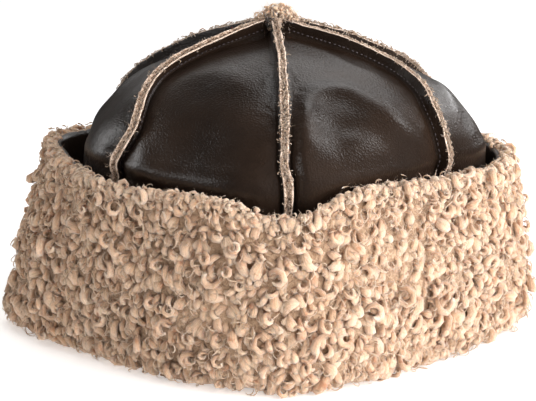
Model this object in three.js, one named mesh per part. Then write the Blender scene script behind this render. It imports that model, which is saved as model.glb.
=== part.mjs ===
// A leather and sheepskin hat: six leather gores whose raw seams stand out as fins, a tuft of
// wool where the fins meet, and a deep cuff turned up with its curly wool outside.
// Millimetres, +Z up. The hat rests on z = 0 and its front seam faces -Y.
import * as THREE from "three";

// Driving sizes
const GORES = 6;
const GORE_ANGLE = 360 / GORES;
const SEAM_GAP = 0.3; // between the two lips of a seam, and under every seated edge
const GORE_THICKNESS = 6; // hide and the short wool inside the crown
const LIP_THICKNESS = 2.2; // one raw edge turned outwards
const LIP_FILLET = 0.5;
const PUFF_POWER = 2.4; // how squarely a gore swells between its seams
const SHELF_HEIGHT = 12; // the gores stand on the fold of the cuff here
const SHELF_WIDTH = 8; // how far the fold reaches inwards past the gores
const CUFF_WALL_BASE = 12;
const CUFF_WALL_RIM = 10.5;
const POCKET_GAP = 1.4; // least space between crown and cuff
const LOCK_HEIGHT = 2.6; // how far a lock of wool rises over the hollows beside it
const CENTRE_SHIFT = { x: 3.9, y: -2.1 }; // puts the middle of the hat's box over the origin

// The crown fills the cuff's pocket up to the first height, and comes clear of the rim between
// two heights measured from it. Its plan leaves a circle between two radii.
const POCKET_HOLDS_TO = 62;
const RIM_CLEAR = { from: -2, to: 22, room: 30 };
const OVAL_RADII = { from: 20, to: 80 };

// Near the peak a gore gets thinner and its raw edges narrower, as shares of the radius there
const PEAK_TAPER = { depth: 2, depthShare: 0.5, lipShare: 0.35, filletShare: 0.06, widest: 0.76 };

// Plan of the cuff. Azimuth runs from the front (-Y) towards +X. base and rim are the wool's
// outer radii at the widest point and under the rim, and top is the height of the rim.
const CUFF = [
  { azimuth: -155, base: 114, rim: 108, top: 90 },
  { azimuth: -135, base: 116, rim: 113, top: 91 },
  { azimuth: -114, base: 126, rim: 126, top: 91 },
  { azimuth: -92, base: 135, rim: 112, top: 91 },
  { azimuth: -75, base: 119, rim: 107, top: 90 },
  { azimuth: -55, base: 106, rim: 105, top: 88.5 },
  { azimuth: -32, base: 106, rim: 104, top: 86.5 },
  { azimuth: -14, base: 114, rim: 109, top: 84.5 },
  { azimuth: 3, base: 119, rim: 113, top: 81.5 },
  { azimuth: 16, base: 115, rim: 109, top: 86.5 },
  { azimuth: 34, base: 105, rim: 104, top: 91 },
  { azimuth: 57, base: 104, rim: 106, top: 90.5 },
  { azimuth: 76, base: 112, rim: 111, top: 88 },
  { azimuth: 93, base: 127, rim: 118, top: 88 },
  { azimuth: 114, base: 123, rim: 121, top: 89 },
  { azimuth: 135, base: 115, rim: 111, top: 90 },
  { azimuth: 155, base: 114, rim: 108, top: 90 },
  { azimuth: 180, base: 123, rim: 112, top: 89 },
];

// Crown from its peak to its lower edge: the foot of the seams, the middle of the gores, and
// how far the raw edges stand out. centreX is where the middle of the crown lies.
const CROWN = [
  { seamRadius: 3, seamHeight: 147.5, middleRadius: 3, middleHeight: 147, fin: 6, centreX: 3.4 },
  { seamRadius: 14.5, seamHeight: 144.6, middleRadius: 14, middleHeight: 143.4, fin: 6.4, centreX: 3.4 },
  { seamRadius: 37, seamHeight: 138.2, middleRadius: 36, middleHeight: 138, fin: 6.5, centreX: 3.4 },
  { seamRadius: 56.5, seamHeight: 129.9, middleRadius: 57, middleHeight: 131, fin: 6.5, centreX: 3.8 },
  { seamRadius: 70.5, seamHeight: 122, middleRadius: 73, middleHeight: 123, fin: 6.5, centreX: 4.2 },
  { seamRadius: 79, seamHeight: 115, middleRadius: 83, middleHeight: 115.3, fin: 6.5, centreX: 4.5 },
  { seamRadius: 84.5, seamHeight: 108.2, middleRadius: 90.5, middleHeight: 107, fin: 6.5, centreX: 4.8 },
  { seamRadius: 88, seamHeight: 99, middleRadius: 95.5, middleHeight: 98, fin: 6.5, centreX: 5 },
  { seamRadius: 89.6, seamHeight: 87.5, middleRadius: 98.5, middleHeight: 86.5, fin: 6, centreX: 5 },
  { seamRadius: 90, seamHeight: 50, middleRadius: 98, middleHeight: 50, fin: 3.5, centreX: 4.5 },
  { seamRadius: 90, seamHeight: 12.3, middleRadius: 97, middleHeight: 12.3, fin: 3.5, centreX: 4 },
];
const CROWN_LEVELS = 19;
const PANEL_POINTS = 7;

// How far the front seams wander from an even spacing, in degrees, at the rows above
const SEAM_DRIFT = [
  { front: 0, frontRight: 6, frontLeft: 0 },
  { front: 2, frontRight: 9, frontLeft: -4 },
  { front: 4.4, frontRight: 12.5, frontLeft: -6 },
  { front: 4.4, frontRight: 11.5, frontLeft: -4.5 },
  { front: 3.4, frontRight: 6, frontLeft: 2.5 },
  { front: 2.4, frontRight: 0, frontLeft: 7.5 },
  { front: 0.8, frontRight: -2.5, frontLeft: 9.5 },
  { front: 0.6, frontRight: -3.2, frontLeft: 6.5 },
  { front: 2.6, frontRight: -2.6, frontLeft: 3.5 },
  { front: 1.5, frontRight: -1, frontLeft: 1.5 },
  { front: 0, frontRight: 0, frontLeft: 0 },
];
const WANDERING_SEAMS = { 0: "front", 1: "frontRight", 5: "frontLeft" };

// Soft dents and swells of the gores. across runs from -1 to 1 between a gore's seams, and
// station counts the crown's rows.
const DENTS = [
  { gore: 1, across: -0.5, station: 4.6, halfWidth: 0.4, halfLength: 1.3, rise: -3 },
  { gore: 1, across: -0.62, station: 7.4, halfWidth: 0.22, halfLength: 1.6, rise: 1.6 },
  { gore: 1, across: 0.25, station: 7.2, halfWidth: 0.42, halfLength: 1.2, rise: -2.2 },
  { gore: 1, across: 0.35, station: 5, halfWidth: 0.4, halfLength: 0.9, rise: 1.4 },
  { gore: 2, across: -0.3, station: 6, halfWidth: 0.5, halfLength: 1.2, rise: -1.6 },
  { gore: 3, across: 0.2, station: 5.6, halfWidth: 0.5, halfLength: 1.2, rise: -2.2 },
  { gore: 4, across: -0.2, station: 6.2, halfWidth: 0.5, halfLength: 1.4, rise: -2.4 },
  { gore: 5, across: 0.3, station: 5, halfWidth: 0.5, halfLength: 1.2, rise: -1.4 },
  { gore: 6, across: 0.05, station: 5.8, halfWidth: 0.5, halfLength: 1.5, rise: -3.4 },
  { gore: 6, across: -0.62, station: 7.6, halfWidth: 0.3, halfLength: 0.9, rise: 2 },
];

// How far the crown is drawn out from a circle towards each side, at the cuff's height
const OVAL = [
  { azimuth: -150, factor: 0.99 },
  { azimuth: -120, factor: 1.02 },
  { azimuth: -90, factor: 0.96 },
  { azimuth: -60, factor: 1 },
  { azimuth: -30, factor: 0.97 },
  { azimuth: 0, factor: 1.05 },
  { azimuth: 30, factor: 0.97 },
  { azimuth: 60, factor: 1 },
  { azimuth: 90, factor: 1.03 },
  { azimuth: 120, factor: 1.02 },
  { azimuth: 150, factor: 0.99 },
  { azimuth: 180, factor: 1.05 },
];

const CUFF_SIDES = 116;
const WALL_ROWS = 12;
const WALL_BELLY = 2; // how far the wool swells out between its widest height and the rim
const WIDEST_HEIGHT = 12;
const RIM_DEPTH = 6; // the rim rounds over within this distance of its top

const rad = THREE.MathUtils.degToRad;
const lerp = THREE.MathUtils.lerp;
const smooth = THREE.MathUtils.smoothstep;

const leather = new THREE.MeshStandardMaterial({ color: 0x2b211d, roughness: 0.42, metalness: 0 });
const wool = new THREE.MeshStandardMaterial({ color: 0xc9a584, roughness: 0.95, metalness: 0 });

// A smooth curve through neighbouring values a, b, c, d, from b to c.
function hermite(a, b, c, d, t, before, span, after) {
  const slopeIn = ((c - a) / (before + span)) * span;
  const slopeOut = ((d - b) / (span + after)) * span;
  const t2 = t * t;
  const t3 = t2 * t;
  return (2 * t3 - 3 * t2 + 1) * b + (t3 - 2 * t2 + t) * slopeIn
    + (3 * t2 - 2 * t3) * c + (t3 - t2) * slopeOut;
}

// A column of a table whose rows stand round the circle.
function around(table, column, azimuth) {
  const n = table.length;
  const first = table[0].azimuth;
  const angle = first + THREE.MathUtils.euclideanModulo(azimuth - first, 360);
  let i = n - 1;
  while (table[i].azimuth > angle) i -= 1;
  const row = (k) => table[THREE.MathUtils.euclideanModulo(k, n)];
  const gap = (k) => THREE.MathUtils.euclideanModulo(row(k + 1).azimuth - row(k).azimuth, 360);
  return hermite(row(i - 1)[column], row(i)[column], row(i + 1)[column], row(i + 2)[column],
    (angle - row(i).azimuth) / gap(i), gap(i - 1), gap(i), gap(i + 1));
}

// A column of a table whose rows follow each other at equal steps.
function along(table, column, station) {
  const last = table.length - 1;
  const i = Math.min(Math.floor(station), last - 1);
  const row = (k) => table[THREE.MathUtils.clamp(k, 0, last)][column];
  return hermite(row(i - 1), row(i), row(i + 1), row(i + 2), station - i, 1, 1, 1);
}

function place(azimuth, radius, height) {
  const a = rad(azimuth);
  return new THREE.Vector3(
    radius * Math.sin(a) + CENTRE_SHIFT.x,
    -radius * Math.cos(a) + CENTRE_SHIFT.y,
    height,
  );
}

// Radius of the cuff's leather side, which faces the crown.
function pocketRadius(azimuth, height) {
  const top = around(CUFF, "top", azimuth);
  const up = THREE.MathUtils.clamp(height / top, 0, 1);
  return lerp(around(CUFF, "base", azimuth) - CUFF_WALL_BASE,
    around(CUFF, "rim", azimuth) - CUFF_WALL_RIM, up);
}

// The lesser of two radii with a soft change from one to the other.
function softMin(a, b, softness = 2.5) {
  return -softness * Math.log(Math.exp(-a / softness) + Math.exp(-b / softness));
}

// Azimuth of a seam at a station from the peak.
function seamAzimuth(seam, station) {
  const name = WANDERING_SEAMS[THREE.MathUtils.euclideanModulo(seam, GORES)];
  return seam * GORE_ANGLE + (name ? along(SEAM_DRIFT, name, station) : 0);
}

function dentRise(gore, across, station) {
  return DENTS.filter((dent) => dent.gore === gore).reduce((sum, dent) => {
    const u = (across - dent.across) / dent.halfWidth;
    const v = (station - dent.station) / dent.halfLength;
    return sum + dent.rise * Math.exp(-(u * u + v * v)) * (1 - across ** 4);
  }, 0);
}

// Outer face of the crown. across runs from -1 at a gore's first seam to 1 at its second, and
// there it is the foot of the fin.
function crownPoint(gore, across, station) {
  const azimuth = lerp(seamAzimuth(gore - 1, station), seamAzimuth(gore, station),
    (across + 1) / 2);
  const puff = 1 - Math.abs(across) ** PUFF_POWER;
  const height = lerp(along(CROWN, "seamHeight", station), along(CROWN, "middleHeight", station),
    puff);
  const round = lerp(along(CROWN, "seamRadius", station), along(CROWN, "middleRadius", station),
    puff) + dentRise(gore, across, station) * smooth(station, 4, 6);
  const oval = smooth(round, OVAL_RADII.from, OVAL_RADII.to);
  const radius = round * lerp(1, around(OVAL, "factor", azimuth), oval);
  const x = along(CROWN, "centreX", station) - CENTRE_SHIFT.x + radius * Math.sin(rad(azimuth));
  const y = -radius * Math.cos(rad(azimuth));
  // the cuff's pocket holds the lower part
  const turned = THREE.MathUtils.radToDeg(Math.atan2(x, -y));
  const top = around(CUFF, "top", turned);
  const room = pocketRadius(turned, height) - POCKET_GAP
    - along(CROWN, "fin", station) * Math.abs(across) ** 4
    + RIM_CLEAR.room * smooth(height, top + RIM_CLEAR.from, top + RIM_CLEAR.to);
  const held = lerp(room, softMin(Math.hypot(x, y), room),
    smooth(height, SHELF_HEIGHT, POCKET_HOLDS_TO));
  const dent = dentRise(gore, across, station) * smooth(6 - station, 0, 2);
  return place(turned, held, height + dent);
}

// Outward normal of the crown at a point, from its neighbours.
function crownNormal(gore, across, station) {
  const last = CROWN.length - 1;
  const a = crownPoint(gore, across, Math.max(station - 0.1, 0));
  const b = crownPoint(gore, across, Math.min(station + 0.1, last));
  const c = crownPoint(gore, across - 0.02, station);
  const d = crownPoint(gore, across + 0.02, station);
  return b.sub(a).cross(d.sub(c)).normalize();
}

// Foot of a seam, the way it runs down the crown, the way its fin stands up, and the way
// across it towards the next gore.
function seamFrame(seam, station) {
  const last = CROWN.length - 1;
  const gore = seam < 1 ? 1 : seam;
  const across = seam < 1 ? -1 : 1;
  const before = crownPoint(gore, across, Math.max(station - 0.15, 0));
  const after = crownPoint(gore, across, Math.min(station + 0.15, last));
  const down = after.sub(before).normalize();
  const azimuth = rad(seamAzimuth(seam, station));
  const side = new THREE.Vector3(Math.cos(azimuth), Math.sin(azimuth), 0);
  side.addScaledVector(down, -side.dot(down)).normalize();
  return { foot: crownPoint(gore, across, station), side, up: down.clone().cross(side) };
}

// One gore's section across, at one station from the peak: an outer rail from lip to lip, and
// an inner rail below it with as many points.
function goreSection(gore, station) {
  const outer = [];
  const inner = [];
  const fin = along(CROWN, "fin", station);
  const round = along(CROWN, "seamRadius", station);
  const depth = Math.min(GORE_THICKNESS, PEAK_TAPER.depth + PEAK_TAPER.depthShare * round);
  const lips = [-1, 1].map((end) => {
    const { foot, side, up } = seamFrame(end < 0 ? gore - 1 : gore, station);
    const lip = Math.min(LIP_THICKNESS, PEAK_TAPER.lipShare * round);
    const fillet = Math.min(LIP_FILLET, PEAK_TAPER.filletShare * round);
    const near = SEAM_GAP / 2;
    const panelFrom = near + lip + 2.2 * fillet;
    const corner = (rise, offset) => foot.clone().addScaledVector(up, rise)
      .addScaledVector(side, -end * offset);
    return {
      outer: [corner(fin, near), corner(fin, near + lip), corner(0, near + lip + fillet)],
      inner: [near, near + lip, near + lip + fillet].map((d) => corner(-depth, d)),
      share: Math.min(panelFrom / (round * rad(GORE_ANGLE / 2)), PEAK_TAPER.widest),
    };
  });
  outer.push(...lips[0].outer);
  inner.push(...lips[0].inner);
  for (let k = 0; k < PANEL_POINTS; k += 1) {
    const across = lerp(lips[0].share - 1, 1 - lips[1].share, k / (PANEL_POINTS - 1));
    const point = crownPoint(gore, across, station);
    outer.push(point);
    inner.push(point.clone().addScaledVector(crownNormal(gore, across, station), -depth));
  }
  outer.push(...lips[1].outer.reverse());
  inner.push(...lips[1].inner.reverse());
  // the lower edge is cut level, to stand on the fold of the cuff
  if (station >= CROWN.length - 1) {
    for (const point of [...outer, ...inner]) point.z = SHELF_HEIGHT + SEAM_GAP;
  }
  return { outer, inner };
}

// A closed solid from loops of points: the loops join each other, and the last joins the
// first, or rails close the two ends.
function loft(loops, rails) {
  const n = loops[0].length;
  const points = loops.flat();
  const index = [];
  // the shorter diagonal, so that the faces of a seam bend alike
  const quad = (a, b, c, d) => {
    if (points[a].distanceTo(points[c]) < points[b].distanceTo(points[d])) {
      index.push(a, b, c, a, c, d);
    } else {
      index.push(a, b, d, b, c, d);
    }
  };
  const spans = rails ? loops.length - 1 : loops.length;
  for (let i = 0; i < spans; i += 1) {
    const here = i * n;
    const next = ((i + 1) % loops.length) * n;
    for (let j = 0; j < n; j += 1) {
      const k = (j + 1) % n;
      quad(here + j, next + j, next + k, here + k);
    }
  }
  if (rails) {
    const half = n / 2;
    const end = (loops.length - 1) * n;
    for (let j = 0; j < half - 1; j += 1) {
      quad(j, j + 1, n - 2 - j, n - 1 - j);
      quad(end + j + 1, end + j, end + n - 1 - j, end + n - 2 - j);
    }
  }
  const geometry = new THREE.BufferGeometry().setFromPoints(points);
  geometry.setIndex(index);
  geometry.computeVertexNormals();
  return geometry;
}

function goreGeometry(gore) {
  const loops = [];
  for (let k = 0; k < CROWN_LEVELS; k += 1) {
    const { outer, inner } = goreSection(gore, (k / (CROWN_LEVELS - 1)) * (CROWN.length - 1));
    loops.push([...outer, ...inner.reverse()]);
  }
  return loft(loops, true);
}

// A repeatable number from 0 to 1 for one lock of wool.
function chance(i, j) {
  const value = Math.sin(i * 127.1 + j * 311.7) * 43758.5453;
  return value - Math.floor(value);
}

// The locks of wool lie in staggered rows: every second point of every second row is the crown
// of a lock, and the points between are the hollows.
function lockRise(side, row) {
  const crest = row % 2 === 0 && (side + row / 2) % 2 === 0;
  const waist = row % 2 === 1;
  const own = chance(side % CUFF_SIDES, row);
  if (crest) return LOCK_HEIGHT * (0.35 + 0.3 * own);
  return waist ? LOCK_HEIGHT * (-0.1 - 0.2 * own) : LOCK_HEIGHT * (-0.3 - 0.2 * own);
}

// One section of the cuff, from the fold under the gores, out along the floor, up the wool,
// over the rim, down the leather side and back across the shelf that the gores stand on.
function cuffSection(side) {
  const azimuth = (side / CUFF_SIDES) * 360;
  const base = around(CUFF, "base", azimuth);
  const rim = around(CUFF, "rim", azimuth);
  const top = around(CUFF, "top", azimuth);
  const fold = pocketRadius(azimuth, SHELF_HEIGHT);
  const inside = fold - POCKET_GAP - GORE_THICKNESS - SHELF_WIDTH;
  const section = [
    [inside, 3],
    [inside + 5, 0],
    [base - 4.5, 0],
    [base - 1, 4],
  ];
  for (let row = 0; row <= WALL_ROWS; row += 1) {
    const up = row / WALL_ROWS;
    section.push([
      lerp(base, rim, up) + WALL_BELLY * Math.sin(Math.PI * up) + lockRise(side, row),
      lerp(WIDEST_HEIGHT, top - RIM_DEPTH, up),
    ]);
  }
  section.push(
    [rim - 1.6 + 0.5 * lockRise(side + 1, 0), top - 1.6],
    [rim - 5.2, top],
    [rim - 9, top - 1.4],
    [rim - CUFF_WALL_RIM, top - RIM_DEPTH],
    [pocketRadius(azimuth, top / 2), top / 2],
    [fold, SHELF_HEIGHT + 6],
    [fold - 0.5, SHELF_HEIGHT],
    [inside, SHELF_HEIGHT],
  );
  return section.map(([radius, height]) => place(azimuth, radius, height));
}

function cuffGeometry() {
  const sections = [];
  for (let side = 0; side < CUFF_SIDES; side += 1) sections.push(cuffSection(side));
  return loft(sections, false);
}

// The tuft of wool at the peak: a root between the points of the gores and an uneven head of
// locks on top of the fins.
function tuftGeometry() {
  const sides = 12;
  const profile = [
    { radius: 0.01, height: 143.4 },
    { radius: 1.9, height: 144 },
    { radius: 1.9, height: 153.8 },
    { radius: 5.4, height: 154.1 },
    { radius: 7, height: 155.8 },
    { radius: 6, height: 158.2 },
    { radius: 3.6, height: 159.8 },
    { radius: 0.01, height: 160.4 },
  ];
  const rows = profile.slice(1, -1);
  const points = [new THREE.Vector3(0, 0, profile[0].height)];
  rows.forEach((row, j) => {
    for (let i = 0; i < sides; i += 1) {
      const a = (i / sides) * 2 * Math.PI;
      const lock = j < 2 ? 0 : ((i + j) % 2 ? 0.09 : -0.09) * row.radius;
      points.push(new THREE.Vector3(
        (row.radius + lock) * Math.cos(a), (row.radius + lock) * Math.sin(a), row.height));
    }
  });
  points.push(new THREE.Vector3(0, 0, profile.at(-1).height));
  const index = [];
  const ring = (j, i) => 1 + j * sides + (i % sides);
  for (let i = 0; i < sides; i += 1) {
    index.push(0, ring(0, i + 1), ring(0, i));
    for (let j = 0; j < rows.length - 1; j += 1) {
      index.push(ring(j, i), ring(j, i + 1), ring(j + 1, i + 1));
      index.push(ring(j, i), ring(j + 1, i + 1), ring(j + 1, i));
    }
    index.push(ring(rows.length - 1, i), ring(rows.length - 1, i + 1), points.length - 1);
  }
  const geometry = new THREE.BufferGeometry().setFromPoints(points);
  geometry.setIndex(index);
  geometry.computeVertexNormals();
  return geometry;
}

function piece(name, geometry, material) {
  const mesh = new THREE.Mesh(geometry, material);
  mesh.name = name;
  return mesh;
}

const hat = new THREE.Group();
for (let gore = 1; gore <= GORES; gore += 1) {
  hat.add(piece(`crown_gore_${gore}`, goreGeometry(gore), leather));
}
hat.add(piece("cuff", cuffGeometry(), wool));
const tuft = piece("peak_tuft", tuftGeometry(), wool);
tuft.position.set(CROWN[0].centreX, CENTRE_SHIFT.y, 0);
hat.add(tuft);

export default hat;
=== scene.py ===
"""Looks of a leather and sheepskin hat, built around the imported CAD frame.

Shapes are worked out in millimetres from the same tables as the CAD solids and placed in metres.
Azimuth runs in degrees from the front seam (-Y) towards +X. A station counts the rows of the
crown from its peak to its lower edge.
"""

import math

import bpy
import numpy as np
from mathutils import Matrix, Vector


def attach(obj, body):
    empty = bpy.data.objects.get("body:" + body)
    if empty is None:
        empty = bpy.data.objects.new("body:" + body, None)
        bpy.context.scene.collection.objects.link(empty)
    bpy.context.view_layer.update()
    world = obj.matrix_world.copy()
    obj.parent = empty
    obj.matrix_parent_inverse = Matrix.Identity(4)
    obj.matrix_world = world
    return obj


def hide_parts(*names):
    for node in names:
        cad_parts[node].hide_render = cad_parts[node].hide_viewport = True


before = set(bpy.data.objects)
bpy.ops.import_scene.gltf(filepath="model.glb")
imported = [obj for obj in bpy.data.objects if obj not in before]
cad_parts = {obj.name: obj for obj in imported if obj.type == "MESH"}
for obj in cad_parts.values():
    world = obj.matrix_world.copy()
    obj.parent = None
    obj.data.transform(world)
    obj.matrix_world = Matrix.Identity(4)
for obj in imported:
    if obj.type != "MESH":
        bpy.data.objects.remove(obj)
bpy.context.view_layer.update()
rng = np.random.default_rng(29)

# Sizes shared with the CAD, in millimetres
MILLIMETRE = 0.001
GORES = 6
GORE_ANGLE = 60
SEAM_GAP = 0.3
GORE_THICKNESS = 6
PUFF_POWER = 2.4
SHELF_HEIGHT = 12
SHELF_WIDTH = 8
CUFF_WALL_BASE = 12
CUFF_WALL_RIM = 10.5
POCKET_GAP = 1.4
POCKET_HOLDS_TO = 62
RIM_CLEAR_FROM, RIM_CLEAR_TO, RIM_CLEAR_ROOM = -2, 22, 30
OVAL_FROM, OVAL_TO = 20, 80
CENTRE = np.array([3.9, -2.1, 0.0])
PEAK = np.array([3.4, -2.1, 0.0])

# azimuth, radius of the wool at its widest, under the rim, height of the rim
CUFF = np.array([
    (-155, 114, 108, 90), (-135, 116, 113, 91), (-114, 126, 126, 91), (-92, 135, 112, 91),
    (-75, 119, 107, 90), (-55, 106, 105, 88.5), (-32, 106, 104, 86.5), (-14, 114, 109, 84.5),
    (3, 119, 113, 81.5), (16, 115, 109, 86.5), (34, 105, 104, 91), (57, 104, 106, 90.5),
    (76, 112, 111, 88), (93, 127, 118, 88), (114, 123, 121, 89), (135, 115, 111, 90),
    (155, 114, 108, 90), (180, 123, 112, 89),
], float)
BASE, RIM, TOP = 1, 2, 3

# azimuth, how far the wool fluffs up above the rim beside its dip
RIM_RISE = np.array([
    (-150, 0), (-60, 0), (-40, 0.8), (-23, 3.8), (-10, 3.1), (0, 0.4), (6, 0.2), (17, 4.0),
    (29, 1.8), (45, 0), (90, 0), (150, 0),
], float)

# seam radius, seam height, middle radius, middle height, height of the fin, centre in x
CROWN = np.array([
    (3, 147.5, 3, 147, 6, 3.4), (14.5, 144.6, 14, 143.4, 6.4, 3.4), (37, 138.2, 36, 138, 6.5, 3.4),
    (56.5, 129.9, 57, 131, 6.5, 3.8), (70.5, 122, 73, 123, 6.5, 4.2), (79, 115, 83, 115.3, 6.5, 4.5),
    (84.5, 108.2, 90.5, 107, 6.5, 4.8), (88, 99, 95.5, 98, 6.5, 5), (89.6, 87.5, 98.5, 86.5, 6, 5),
    (90, 50, 98, 50, 3.5, 4.5), (90, 12.3, 97, 12.3, 3.5, 4),
], float)
SEAM_RADIUS, FIN = 0, 4
LAST = len(CROWN) - 1

# how far the seams wander from an even spacing at those rows, in degrees
DRIFT = {
    0: np.array([0, 2, 3.6, 3.0, 2.4, 2.0, 1.6, 1.4, 2.4, 1.5, 0], float),
    1: np.array([6, 9, 12.5, 11.5, 6, 0, -2.5, -3.2, -2.6, -1, 0], float),
    5: np.array([0, -4, -6, -4.5, 2.5, 7.5, 9.5, 6.5, 3.5, 1.5, 0], float),
}

# gore, across, station, half width, half length, rise
DENTS = [
    (1, -0.5, 4.6, 0.4, 1.3, -3), (1, -0.62, 7.4, 0.22, 1.6, 1.6), (1, 0.25, 7.2, 0.42, 1.2, -2.2),
    (1, 0.35, 5, 0.4, 0.9, 1.4), (2, -0.3, 6, 0.5, 1.2, -1.6), (3, 0.2, 5.6, 0.5, 1.2, -2.2),
    (4, -0.2, 6.2, 0.5, 1.4, -2.4), (5, 0.3, 5, 0.5, 1.2, -1.4), (6, 0.05, 5.8, 0.5, 1.5, -3.4),
    (6, -0.62, 7.6, 0.3, 0.9, 2),
]

# gore, rise, half width in millimetres and the way of a soft fold as across and station
FOLDS = [
    (1, 2.1, 5.6, [(-0.88, 8.1), (-0.84, 6.1), (-0.80, 4.4), (-0.6, 3.4), (-0.2, 3.4), (0.1, 4.2),
                   (0.38, 5.3), (0.62, 6.3)]),
    (1, 2.2, 7.0, [(-0.78, 8.6), (-0.78, 7.0), (-0.77, 5.4), (-0.72, 4.2)]),
    (1, -1.0, 5.5, [(-0.45, 6.6), (-0.35, 5.2), (0, 5.4), (0.25, 6.6)]),
    (1, 0.8, 4.5, [(-0.1, 0.8), (0.3, 1.5), (0.28, 2.4), (0.5, 3.2)]),
    (2, 1.0, 6.0, [(-0.5, 5.5), (0, 4.4), (0.5, 5.6)]),
    (3, 1.2, 6.0, [(-0.6, 6.4), (-0.2, 5.0), (0.4, 4.6), (0.6, 6.0)]),
    (4, 1.0, 7.0, [(-0.5, 4.2), (0.1, 5.2), (0.5, 4.6)]),
    (5, 1.0, 6.0, [(-0.4, 3.4), (-0.1, 5.0), (-0.3, 6.6)]),
    (6, 1.3, 7.0, [(-0.78, 6.4), (-0.5, 7.3), (-0.2, 7.9)]),
    (6, 0.7, 7.0, [(-0.5, 3.0), (0, 2.7), (0.5, 3.1)]),
]

# azimuth, how far the crown is drawn out from a circle
OVAL = np.array([
    (-150, 0.99), (-120, 1.02), (-90, 0.96), (-60, 1), (-30, 0.97), (0, 1.05), (30, 0.97), (60, 1),
    (90, 1.03), (120, 1.02), (150, 0.99), (180, 1.05),
], float)


# Small tools
def unit(v):
    return v / np.linalg.norm(v, axis=-1, keepdims=True)


def lerp(a, b, t):
    return a + (b - a) * t


def smooth(value, low, high):
    t = np.clip((value - low) / (high - low), 0, 1)
    return t * t * (3 - 2 * t)


def hermite(a, b, c, d, t, before, span, after):
    """A smooth curve through neighbouring values, from b to c."""
    slope_in = (c - a) / (before + span) * span
    slope_out = (d - b) / (span + after) * span
    t2, t3 = t * t, t * t * t
    return ((2 * t3 - 3 * t2 + 1) * b + (t3 - 2 * t2 + t) * slope_in
            + (3 * t2 - 2 * t3) * c + (t3 - t2) * slope_out)


def around(table, column, azimuth):
    """A column of a table whose rows stand round the circle."""
    angles, values = table[:, 0], table[:, column]
    turned = angles[0] + np.mod(azimuth - angles[0], 360)
    i = np.searchsorted(angles, turned, side="right")
    angle = np.concatenate([angles[-1:] - 360, angles, angles[:2] + 360])
    value = np.concatenate([values[-1:], values, values[:2]])
    return hermite(value[i - 1], value[i], value[i + 1], value[i + 2],
                   (turned - angle[i]) / (angle[i + 1] - angle[i]),
                   angle[i] - angle[i - 1], angle[i + 1] - angle[i], angle[i + 2] - angle[i + 1])


def along(values, station):
    """A column of a table whose rows follow each other at equal steps."""
    last = len(values) - 1
    i = np.clip(np.floor(station).astype(int), 0, last - 1)
    a, b, c, d = (values[np.clip(i + k, 0, last)] for k in (-1, 0, 1, 2))
    return hermite(a, b, c, d, station - i, 1, 1, 1)


def place(azimuth, radius, height):
    a = np.radians(azimuth)
    return np.stack(np.broadcast_arrays(radius * np.sin(a), -radius * np.cos(a), height),
                    axis=-1) + CENTRE


LATTICE_SIZE = 32
LATTICE = rng.uniform(-1, 1, 3 * (LATTICE_SIZE,))


def noise(points, size, shift=0.0):
    """Smooth values from -1 to 1 that change over about size millimetres."""
    p = points / size + shift
    i = np.floor(p).astype(int)
    f = p - i
    f = f * f * (3 - 2 * f)
    total = 0
    for corner in np.ndindex(2, 2, 2):
        weight = np.prod(np.where(corner, f, 1 - f), axis=-1)
        at = (i + corner) % LATTICE_SIZE
        total = total + weight * LATTICE[at[..., 0], at[..., 1], at[..., 2]]
    return total


# The crown's outer face
def pocket_radius(azimuth, height):
    """Radius of the cuff's leather side, which faces the crown."""
    up = np.clip(height / around(CUFF, TOP, azimuth), 0, 1)
    return lerp(around(CUFF, BASE, azimuth) - CUFF_WALL_BASE,
                around(CUFF, RIM, azimuth) - CUFF_WALL_RIM, up)


def soft_min(a, b, softness=2.5):
    return -softness * np.log(np.exp(-a / softness) + np.exp(-b / softness))


def seam_radius(station):
    return along(CROWN[:, SEAM_RADIUS], station)


def seam_azimuth(seam, station):
    azimuth = seam * GORE_ANGLE + np.zeros_like(station)
    if seam % GORES in DRIFT:
        azimuth = azimuth + along(DRIFT[seam % GORES], station)
    return azimuth


def dent_rise(gore, across, station):
    total = 0
    for where, centre, row, half_width, half_length, rise in DENTS:
        if where == gore:
            u = (across - centre) / half_width
            v = (station - row) / half_length
            total = total + rise * np.exp(-(u * u + v * v)) * (1 - across ** 4)
    return total


def crown_point(gore, across, station):
    """across runs from -1 at the gore's first seam to 1 at its second."""
    across, station = np.broadcast_arrays(np.asarray(across, float), np.asarray(station, float))
    azimuth = lerp(seam_azimuth(gore - 1, station), seam_azimuth(gore, station), (across + 1) / 2)
    puff = 1 - np.abs(across) ** PUFF_POWER
    seam_r, seam_h, mid_r, mid_h, fin, centre_x = (along(CROWN[:, k], station) for k in range(6))
    dent = dent_rise(gore, across, station)
    height = lerp(seam_h, mid_h, puff)
    plan = lerp(seam_r, mid_r, puff) + dent * smooth(station, 4, 6)
    radius = plan * lerp(1, around(OVAL, 1, azimuth), smooth(plan, OVAL_FROM, OVAL_TO))
    x = centre_x - CENTRE[0] + radius * np.sin(np.radians(azimuth))
    y = -radius * np.cos(np.radians(azimuth))
    turned = np.degrees(np.arctan2(x, -y))
    top = around(CUFF, TOP, turned)
    room = (pocket_radius(turned, height) - POCKET_GAP - fin * np.abs(across) ** 4
            + RIM_CLEAR_ROOM * smooth(height, top + RIM_CLEAR_FROM, top + RIM_CLEAR_TO))
    free = smooth(height, SHELF_HEIGHT, POCKET_HOLDS_TO)
    held = lerp(room, soft_min(np.hypot(x, y), room), free)
    return place(turned, held, height + dent * smooth(6 - station, 0, 2))


def crown_normal(gore, across, station):
    down = (crown_point(gore, across, np.minimum(station + 0.1, LAST))
            - crown_point(gore, across, np.maximum(station - 0.1, 0)))
    side = crown_point(gore, across + 0.02, station) - crown_point(gore, across - 0.02, station)
    return unit(np.cross(down, side))


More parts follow.
